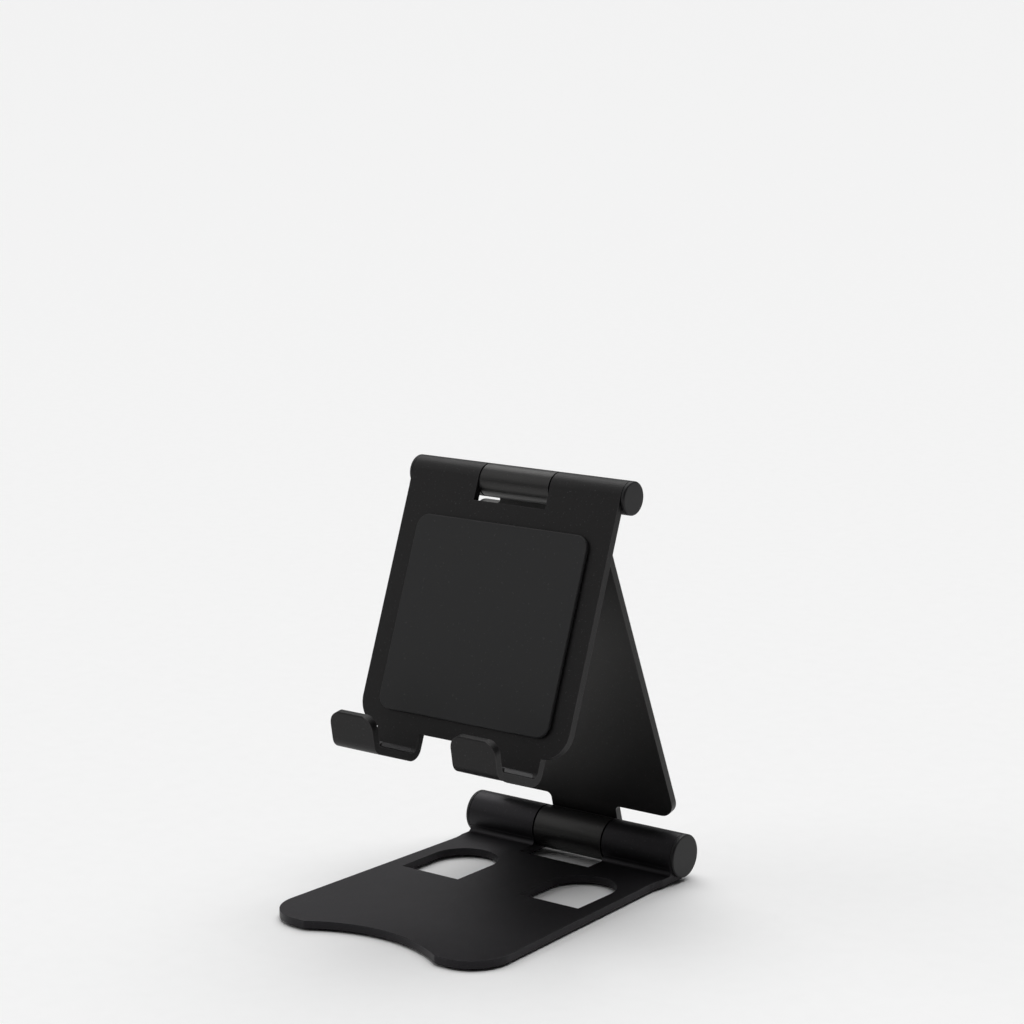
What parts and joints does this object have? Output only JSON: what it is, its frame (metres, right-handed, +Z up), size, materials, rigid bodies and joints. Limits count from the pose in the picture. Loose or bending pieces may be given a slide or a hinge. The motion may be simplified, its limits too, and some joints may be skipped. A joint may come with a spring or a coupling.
{
  "type": "folding phone stand",
  "caption": "Foldable black aluminium phone stand: a base plate, a tilting arm on a friction hinge, and a hinged holder with padded hooks.",
  "frame": {"origin": "on the surface that the stand rests on, in the middle of the base and its hinge barrel", "axes": "+X to the stand's right as its user sees it, +Y to the back, away from the user, +Z up"},
  "size_m": [0.0584, 0.0772, 0.0912],
  "materials": {
    "base_aluminium": "fine blasted, black anodised",
    "arm_aluminium": "fine blasted, black anodised",
    "holder_aluminium": "fine blasted, black anodised",
    "cap_aluminium": "turned face, black anodised",
    "foot_rubber": "matt",
    "pad_silicone": "soft matt",
    "hook_silicone": "soft satin",
    "hinge_steel": "turned",
    "washer_plastic": "moulded",
    "bush_plastic": "moulded"
  },
  "bodies": {
    "base": {"base_plate": "base_aluminium", "foot_front_left": "foot_rubber", "foot_front_right": "foot_rubber", "foot_rear_left": "foot_rubber", "foot_rear_right": "foot_rubber", "base_hinge_washers": "washer_plastic", "base_cap_left": "cap_aluminium", "base_cap_right": "cap_aluminium"},
    "base_pin": {"base_hinge_pin": "hinge_steel", "base_hinge_nut": "hinge_steel", "base_hinge_springs": "hinge_steel"},
    "arm": {"arm": "arm_aluminium", "base_hinge_bush": "bush_plastic", "holder_hinge_bush": "bush_plastic"},
    "holder": {"holder": "holder_aluminium", "holder_hinge_pin": "hinge_steel", "holder_hinge_nut": "hinge_steel", "holder_hinge_springs": "hinge_steel", "holder_hinge_washers": "washer_plastic", "holder_cap_left": "cap_aluminium", "holder_cap_right": "cap_aluminium", "holder_back_pad": "pad_silicone", "hook_pad_left": "hook_silicone", "hook_pad_right": "hook_silicone"}
  },
  "joints": [
    {"name": "pin_turn", "type": "hinge", "parent": "base", "child": "base_pin", "pos_m": [0, 0.03385, 0.00575], "axis": [-1, 0, 0], "range_deg": [-46, 24.3]},
    {"name": "arm_tilt", "type": "hinge", "parent": "base_pin", "child": "arm", "pos_m": [0, 0.03385, 0.00575], "axis": [-1, 0, 0], "range_deg": [-30, 30]},
    {"name": "holder_fold", "type": "hinge", "parent": "arm", "child": "holder", "pos_m": [0, 0.01467, 0.08764], "axis": [-1, 0, 0], "range_deg": [-38, 20]}
  ],
  "couplings": [
    {"joint": "pin_turn", "follows": "holder_fold", "ratio": 1.2105}
  ]
}
